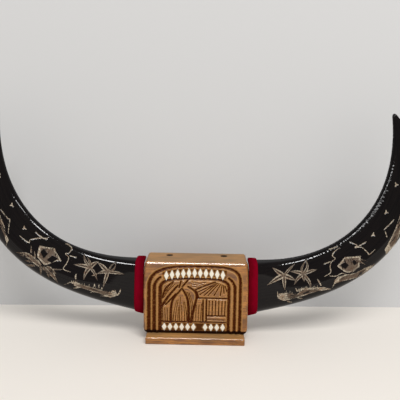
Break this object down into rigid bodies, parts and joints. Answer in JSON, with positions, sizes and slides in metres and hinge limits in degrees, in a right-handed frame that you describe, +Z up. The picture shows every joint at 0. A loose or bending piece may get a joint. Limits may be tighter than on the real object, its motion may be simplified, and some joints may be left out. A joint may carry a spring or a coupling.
{
  "type": "mounted horn pair",
  "caption": "Pair of engraved black buffalo horns doweled to a carved wooden block on a flat wooden foot, with red velvet collars at the joints and blind pen holes in the block's top.",
  "frame": {"origin": "middle of the foot's underside, on the table", "axes": "+X along the pair of horns to the right as seen from the carved front, +Y from the carved front to the back, +Z up"},
  "size_m": [0.6702, 0.093, 0.3444],
  "materials": {
    "stained_wood": "satin lacquer",
    "core_wood": "sawn, unfinished",
    "horn": "polished keratin, engraved",
    "velvet": "short pile",
    "padding": "cotton wadding",
    "steel": "plain"
  },
  "bodies": {
    "root": {"foot": "stained_wood", "foot_screws": "steel", "block": "stained_wood", "left_dowel": "core_wood", "right_dowel": "core_wood", "left_core": "core_wood", "right_core": "core_wood", "left_horn": "horn", "right_horn": "horn", "left_horn_nails": "steel", "right_horn_nails": "steel", "left_collar_padding": "padding", "right_collar_padding": "padding", "left_collar_velvet": "velvet", "right_collar_velvet": "velvet"}
  },
  "joints": []
}
